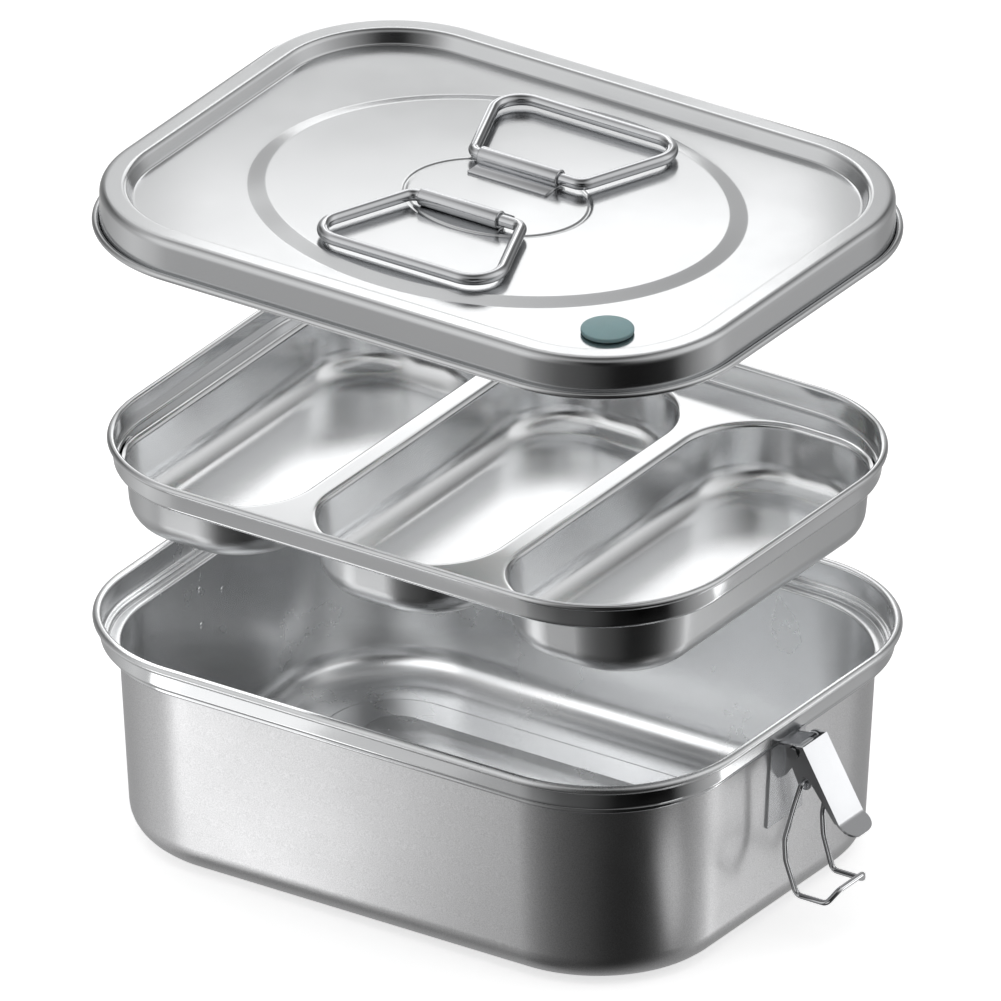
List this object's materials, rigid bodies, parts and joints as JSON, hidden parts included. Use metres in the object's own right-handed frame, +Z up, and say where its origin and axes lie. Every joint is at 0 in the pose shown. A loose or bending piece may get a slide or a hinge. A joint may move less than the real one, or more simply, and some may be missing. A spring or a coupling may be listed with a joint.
{
  "type": "bento lunch box",
  "caption": "Stainless steel bento lunch box: deep latched box, drop-in compartment tray, and a recessed lid with folding wire handles and a silicone vent plug.",
  "frame": {"origin": "centre of the box's base, on the surface it stands on", "axes": "+Z up, +X along the long side towards one latch, +Y across; the front long side faces -Y and the vent plug is at +X, -Y"},
  "size_m": [0.2692, 0.1754, 0.2224],
  "materials": {
    "drawn_steel": "satin, fine bead-blasted outside",
    "polished_steel": "polished",
    "lid_steel": "semi-polished, faint drawing marks",
    "bright_wire": "bright drawn wire",
    "latch_strip": "bright pressed strip",
    "seal_silicone": "matt translucent white",
    "plug_silicone": "matt teal grey"
  },
  "bodies": {
    "box": {"box_shell": "drawn_steel", "latch_base_right": "latch_strip", "latch_base_left": "latch_strip", "latch_pin_right": "bright_wire", "latch_pin_left": "bright_wire"},
    "tray": {"tray_shell": "polished_steel"},
    "lid": {"lid_shell": "lid_steel", "lid_gasket": "seal_silicone", "handle_barrel_front": "polished_steel", "handle_barrel_rear": "polished_steel"},
    "plug": {"vent_plug": "plug_silicone"},
    "front_handle": {"handle_wire_front": "bright_wire"},
    "rear_handle": {"handle_wire_rear": "bright_wire"},
    "right_lever": {"latch_lever_right": "latch_strip"},
    "left_lever": {"latch_lever_left": "latch_strip"},
    "right_bushes": {"bail_bushes_right": "bright_wire"},
    "left_bushes": {"bail_bushes_left": "bright_wire"},
    "right_bail": {"latch_bail_right": "bright_wire"},
    "left_bail": {"latch_bail_left": "bright_wire"}
  },
  "joints": [
    {"name": "tray_lift", "type": "slide", "parent": "box", "child": "tray", "axis": [0, 0, 1], "range_m": [-0.0614, 0]},
    {"name": "lid_lift", "type": "slide", "parent": "tray", "child": "lid", "axis": [0, 0, 1], "range_m": [-0.0713, 0]},
    {"name": "vent_pull", "type": "slide", "parent": "lid", "child": "plug", "axis": [0, 0, 1], "range_m": [0, 0.0024]},
    {"name": "front_handle_fold", "type": "hinge", "parent": "lid", "child": "front_handle", "pos_m": [0, -0.0165, 0.21955], "axis": [-1, 0, 0], "range_deg": [0, 110]},
    {"name": "rear_handle_fold", "type": "hinge", "parent": "lid", "child": "rear_handle", "pos_m": [0, 0.0165, 0.21955], "axis": [1, 0, 0], "range_deg": [0, 110]},
    {"name": "right_lever_swing", "type": "hinge", "parent": "box", "child": "right_lever", "pos_m": [0.1126, 0, 0.0612], "axis": [0, -1, 0], "range_deg": [-30, 70]},
    {"name": "right_bushes_turn", "type": "hinge", "parent": "right_lever", "child": "right_bushes", "pos_m": [0.11663, 0, 0.05221], "axis": [0, -1, 0], "range_deg": [-70, 30]},
    {"name": "right_bail_swing", "type": "hinge", "parent": "right_bushes", "child": "right_bail", "pos_m": [0.11663, 0, 0.05221], "axis": [0, 1, 0], "range_deg": [-180, 0]},
    {"name": "left_lever_swing", "type": "hinge", "parent": "box", "child": "left_lever", "pos_m": [-0.1126, 0, 0.0612], "axis": [0, 1, 0], "range_deg": [-30, 70]},
    {"name": "left_bushes_turn", "type": "hinge", "parent": "left_lever", "child": "left_bushes", "pos_m": [-0.11663, 0, 0.05221], "axis": [0, 1, 0], "range_deg": [-70, 30]},
    {"name": "left_bail_swing", "type": "hinge", "parent": "left_bushes", "child": "left_bail", "pos_m": [-0.11663, 0, 0.05221], "axis": [0, -1, 0], "range_deg": [-180, 0]}
  ],
  "couplings": [
    {"joint": "right_bushes_turn", "follows": "right_lever_swing", "ratio": -1},
    {"joint": "left_bushes_turn", "follows": "left_lever_swing", "ratio": -1}
  ]
}
